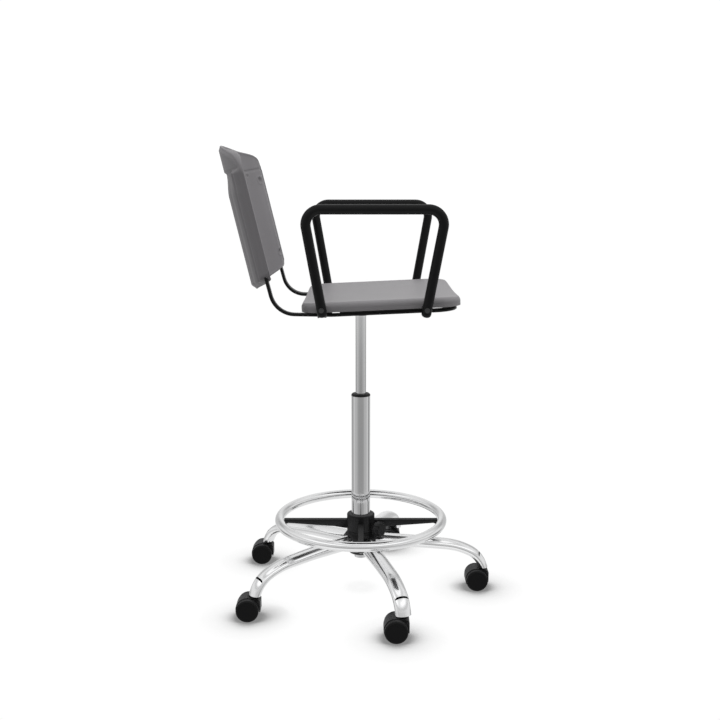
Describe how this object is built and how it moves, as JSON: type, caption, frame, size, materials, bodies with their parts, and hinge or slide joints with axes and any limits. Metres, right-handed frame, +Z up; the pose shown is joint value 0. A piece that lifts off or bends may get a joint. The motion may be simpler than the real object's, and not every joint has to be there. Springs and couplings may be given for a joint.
{
  "type": "swivel counter chair",
  "caption": "High swivel chair with a curved back, arm loops, a gas-lift column, a sliding foot ring and a star base on twin-wheel casters.",
  "frame": {"origin": "on the floor, under the axis of the column", "axes": "+X forward, the way the sitter faces; +Y to the sitter's left; +Z up"},
  "size_m": [0.7029, 0.6956, 1.1781],
  "materials": {
    "chrome": "polished",
    "black_steel": "satin powder coat",
    "grey_plastic": "matte",
    "black_plastic": "matte",
    "wheel_plastic": "satin",
    "bright_steel": "ground",
    "black_screw": "black oxide",
    "rubber": "matte"
  },
  "bodies": {
    "base": {"base_hub": "black_plastic", "leg_1": "chrome", "leg_2": "chrome", "leg_3": "chrome", "leg_4": "chrome", "leg_5": "chrome", "caster_sockets": "black_plastic", "caster_stems": "bright_steel", "column_tube": "chrome", "guide_bush": "black_plastic", "thrust_bearing": "bright_steel"},
    "piston": {"piston_rod": "bright_steel", "retaining_clip": "bright_steel"},
    "seat": {"gas_cylinder": "chrome", "cylinder_gland": "bright_steel", "taper_socket": "black_steel", "seat_plate": "black_steel", "lever_pivot": "bright_steel", "cross_bar_front": "black_steel", "cross_bar_rear": "black_steel", "front_bar": "black_steel", "side_bar_left": "black_steel", "side_bar_right": "black_steel", "seat_pads": "rubber", "seat_shell": "grey_plastic", "seat_screws": "black_screw", "back_shell": "grey_plastic", "back_screws": "black_screw", "arm_left": "black_steel", "arm_right": "black_steel", "arm_brackets": "black_steel", "arm_bolts": "black_screw"},
    "lever": {"height_lever": "black_steel", "lever_grip": "black_plastic"},
    "release": {"release_pin": "bright_steel"},
    "foot_ring": {"foot_ring": "chrome", "ring_spider": "black_plastic", "ring_screws": "bright_steel"},
    "knob": {"clamp_knob": "black_plastic", "clamp_screw": "bright_steel"},
    "caster_1": {"caster_1_hood": "black_plastic", "caster_1_axle": "bright_steel"},
    "caster_1_left": {"caster_1_wheel_left": "wheel_plastic"},
    "caster_1_right": {"caster_1_wheel_right": "wheel_plastic"},
    "caster_2": {"caster_2_hood": "black_plastic", "caster_2_axle": "bright_steel"},
    "caster_2_left": {"caster_2_wheel_left": "wheel_plastic"},
    "caster_2_right": {"caster_2_wheel_right": "wheel_plastic"},
    "caster_3": {"caster_3_hood": "black_plastic", "caster_3_axle": "bright_steel"},
    "caster_3_left": {"caster_3_wheel_left": "wheel_plastic"},
    "caster_3_right": {"caster_3_wheel_right": "wheel_plastic"},
    "caster_4": {"caster_4_hood": "black_plastic", "caster_4_axle": "bright_steel"},
    "caster_4_left": {"caster_4_wheel_left": "wheel_plastic"},
    "caster_4_right": {"caster_4_wheel_right": "wheel_plastic"},
    "caster_5": {"caster_5_hood": "black_plastic", "caster_5_axle": "bright_steel"},
    "caster_5_left": {"caster_5_wheel_left": "wheel_plastic"},
    "caster_5_right": {"caster_5_wheel_right": "wheel_plastic"}
  },
  "joints": [
    {"name": "seat_swivel", "type": "hinge", "parent": "base", "child": "piston", "pos_m": [0, 0, 0.1], "axis": [0, 0, 1], "continuous": true},
    {"name": "seat_height", "type": "slide", "parent": "piston", "child": "seat", "axis": [0, 0, 1], "range_m": [-0.195, 0]},
    {"name": "lever_tilt", "type": "hinge", "parent": "seat", "child": "lever", "pos_m": [0, 0.06, 0.7903], "axis": [1, 0, 0], "range_deg": [0, 3.8], "stiffness_Nm_per_rad": 60, "springref_deg": -8},
    {"name": "release_press", "type": "slide", "parent": "seat", "child": "release", "axis": [0, 0, 1], "range_m": [-0.00398, 0]},
    {"name": "ring_height", "type": "slide", "parent": "base", "child": "foot_ring", "axis": [0, 0, 1], "range_m": [0, 0.3]},
    {"name": "caster_1_swivel", "type": "hinge", "parent": "base", "child": "caster_1", "pos_m": [0.331, 0, 0.05], "axis": [0, 0, 1], "continuous": true},
    {"name": "caster_1_spin_left", "type": "hinge", "parent": "caster_1", "child": "caster_1_left", "pos_m": [0.3137, 0, 0.0288], "axis": [0, 1, 0], "continuous": true},
    {"name": "caster_1_spin_right", "type": "hinge", "parent": "caster_1", "child": "caster_1_right", "pos_m": [0.3137, 0, 0.0288], "axis": [0, 1, 0], "continuous": true},
    {"name": "caster_2_swivel", "type": "hinge", "parent": "base", "child": "caster_2", "pos_m": [0.10229, 0.3148, 0.05], "axis": [0, 0, 1], "continuous": true},
    {"name": "caster_2_spin_left", "type": "hinge", "parent": "caster_2", "child": "caster_2_left", "pos_m": [0.08499, 0.3148, 0.0288], "axis": [0, 1, 0], "continuous": true},
    {"name": "caster_2_spin_right", "type": "hinge", "parent": "caster_2", "child": "caster_2_right", "pos_m": [0.08499, 0.3148, 0.0288], "axis": [0, 1, 0], "continuous": true},
    {"name": "caster_3_swivel", "type": "hinge", "parent": "base", "child": "caster_3", "pos_m": [-0.26778, 0.19456, 0.05], "axis": [0, 0, 1], "continuous": true},
    {"name": "caster_3_spin_left", "type": "hinge", "parent": "caster_3", "child": "caster_3_left", "pos_m": [-0.28508, 0.19456, 0.0288], "axis": [0, 1, 0], "continuous": true},
    {"name": "caster_3_spin_right", "type": "hinge", "parent": "caster_3", "child": "caster_3_right", "pos_m": [-0.28508, 0.19456, 0.0288], "axis": [0, 1, 0], "continuous": true},
    {"name": "caster_4_swivel", "type": "hinge", "parent": "base", "child": "caster_4", "pos_m": [-0.26778, -0.19456, 0.05], "axis": [0, 0, 1], "continuous": true},
    {"name": "caster_4_spin_left", "type": "hinge", "parent": "caster_4", "child": "caster_4_left", "pos_m": [-0.28508, -0.19456, 0.0288], "axis": [0, 1, 0], "continuous": true},
    {"name": "caster_4_spin_right", "type": "hinge", "parent": "caster_4", "child": "caster_4_right", "pos_m": [-0.28508, -0.19456, 0.0288], "axis": [0, 1, 0], "continuous": true},
    {"name": "caster_5_swivel", "type": "hinge", "parent": "base", "child": "caster_5", "pos_m": [0.10229, -0.3148, 0.05], "axis": [0, 0, 1], "continuous": true},
    {"name": "caster_5_spin_left", "type": "hinge", "parent": "caster_5", "child": "caster_5_left", "pos_m": [0.08499, -0.3148, 0.0288], "axis": [0, 1, 0], "continuous": true},
    {"name": "caster_5_spin_right", "type": "hinge", "parent": "caster_5", "child": "caster_5_right", "pos_m": [0.08499, -0.3148, 0.0288], "axis": [0, 1, 0], "continuous": true},
    {"name": "knob_turn", "type": "hinge", "parent": "foot_ring", "child": "knob", "pos_m": [0.04915, -0.03442, 0.177], "axis": [0.8192, -0.5736, 0], "range_deg": [-540, 0]}
  ],
  "couplings": [
    {"joint": "release_press", "follows": "lever_tilt", "m_per_rad": -0.06}
  ]
}
